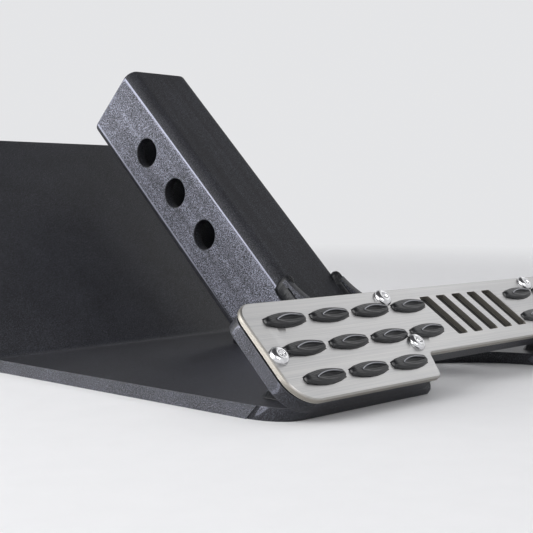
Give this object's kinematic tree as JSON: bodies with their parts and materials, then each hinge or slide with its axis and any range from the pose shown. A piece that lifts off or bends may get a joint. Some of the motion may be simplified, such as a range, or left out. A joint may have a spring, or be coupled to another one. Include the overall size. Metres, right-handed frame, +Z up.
{
  "type": "hitch skid",
  "caption": "Bent steel skid plate on a square hitch tube, with a stainless step tread set with rubber grip pads.",
  "frame": {"origin": "centre of the rear panel's flat underside, which rests on the ground plane", "axes": "+Z up, +Y from the step towards the front panel, +X to the right across the plate; the hitch tube rises 43.9 degrees towards +Y and +Z"},
  "size_m": [0.326, 0.3497, 0.1685],
  "materials": {
    "black_coat": "satin black powder coat with a fine grain",
    "weld_bead": "glossy black coat over a rippled bead",
    "stainless": "brushed along the step",
    "rubber": "moulded, with a low sheen",
    "bright_screw": "bright plated"
  },
  "bodies": {
    "root": {"backing_mat": "rubber", "hitch_tube": "black_coat", "skid_plate": "black_coat", "step_plate": "black_coat", "tread_pad_left_1_1": "rubber", "tread_pad_left_1_2": "rubber", "tread_pad_left_1_3": "rubber", "tread_pad_left_1_4": "rubber", "tread_pad_left_2_1": "rubber", "tread_pad_left_2_2": "rubber", "tread_pad_left_2_3": "rubber", "tread_pad_left_2_4": "rubber", "tread_pad_left_3_1": "rubber", "tread_pad_left_3_2": "rubber", "tread_pad_left_3_3": "rubber", "tread_pad_right_1_1": "rubber", "tread_pad_right_1_2": "rubber", "tread_pad_right_1_3": "rubber", "tread_pad_right_1_4": "rubber", "tread_pad_right_2_1": "rubber", "tread_pad_right_2_2": "rubber", "tread_pad_right_2_3": "rubber", "tread_pad_right_2_4": "rubber", "tread_pad_right_3_1": "rubber", "tread_pad_right_3_2": "rubber", "tread_pad_right_3_3": "rubber", "tread_screw_left_front": "bright_screw", "tread_screw_left_outer": "bright_screw", "tread_screw_left_rear": "bright_screw", "tread_screw_right_front": "bright_screw", "tread_screw_right_outer": "bright_screw", "tread_screw_right_rear": "bright_screw", "tread_sheet": "stainless", "tube_gusset_left": "black_coat", "tube_gusset_right": "black_coat", "weld_gusset_left": "weld_bead", "weld_gusset_right": "weld_bead", "weld_rib_inner_left": "weld_bead", "weld_rib_inner_right": "weld_bead", "weld_rib_outer_left": "weld_bead", "weld_rib_outer_right": "weld_bead", "weld_step_left": "weld_bead", "weld_step_right": "weld_bead", "weld_tube_foot": "weld_bead", "wing_rib_inner_left": "black_coat", "wing_rib_inner_right": "black_coat", "wing_rib_outer_left": "black_coat", "wing_rib_outer_right": "black_coat"}
  },
  "joints": []
}
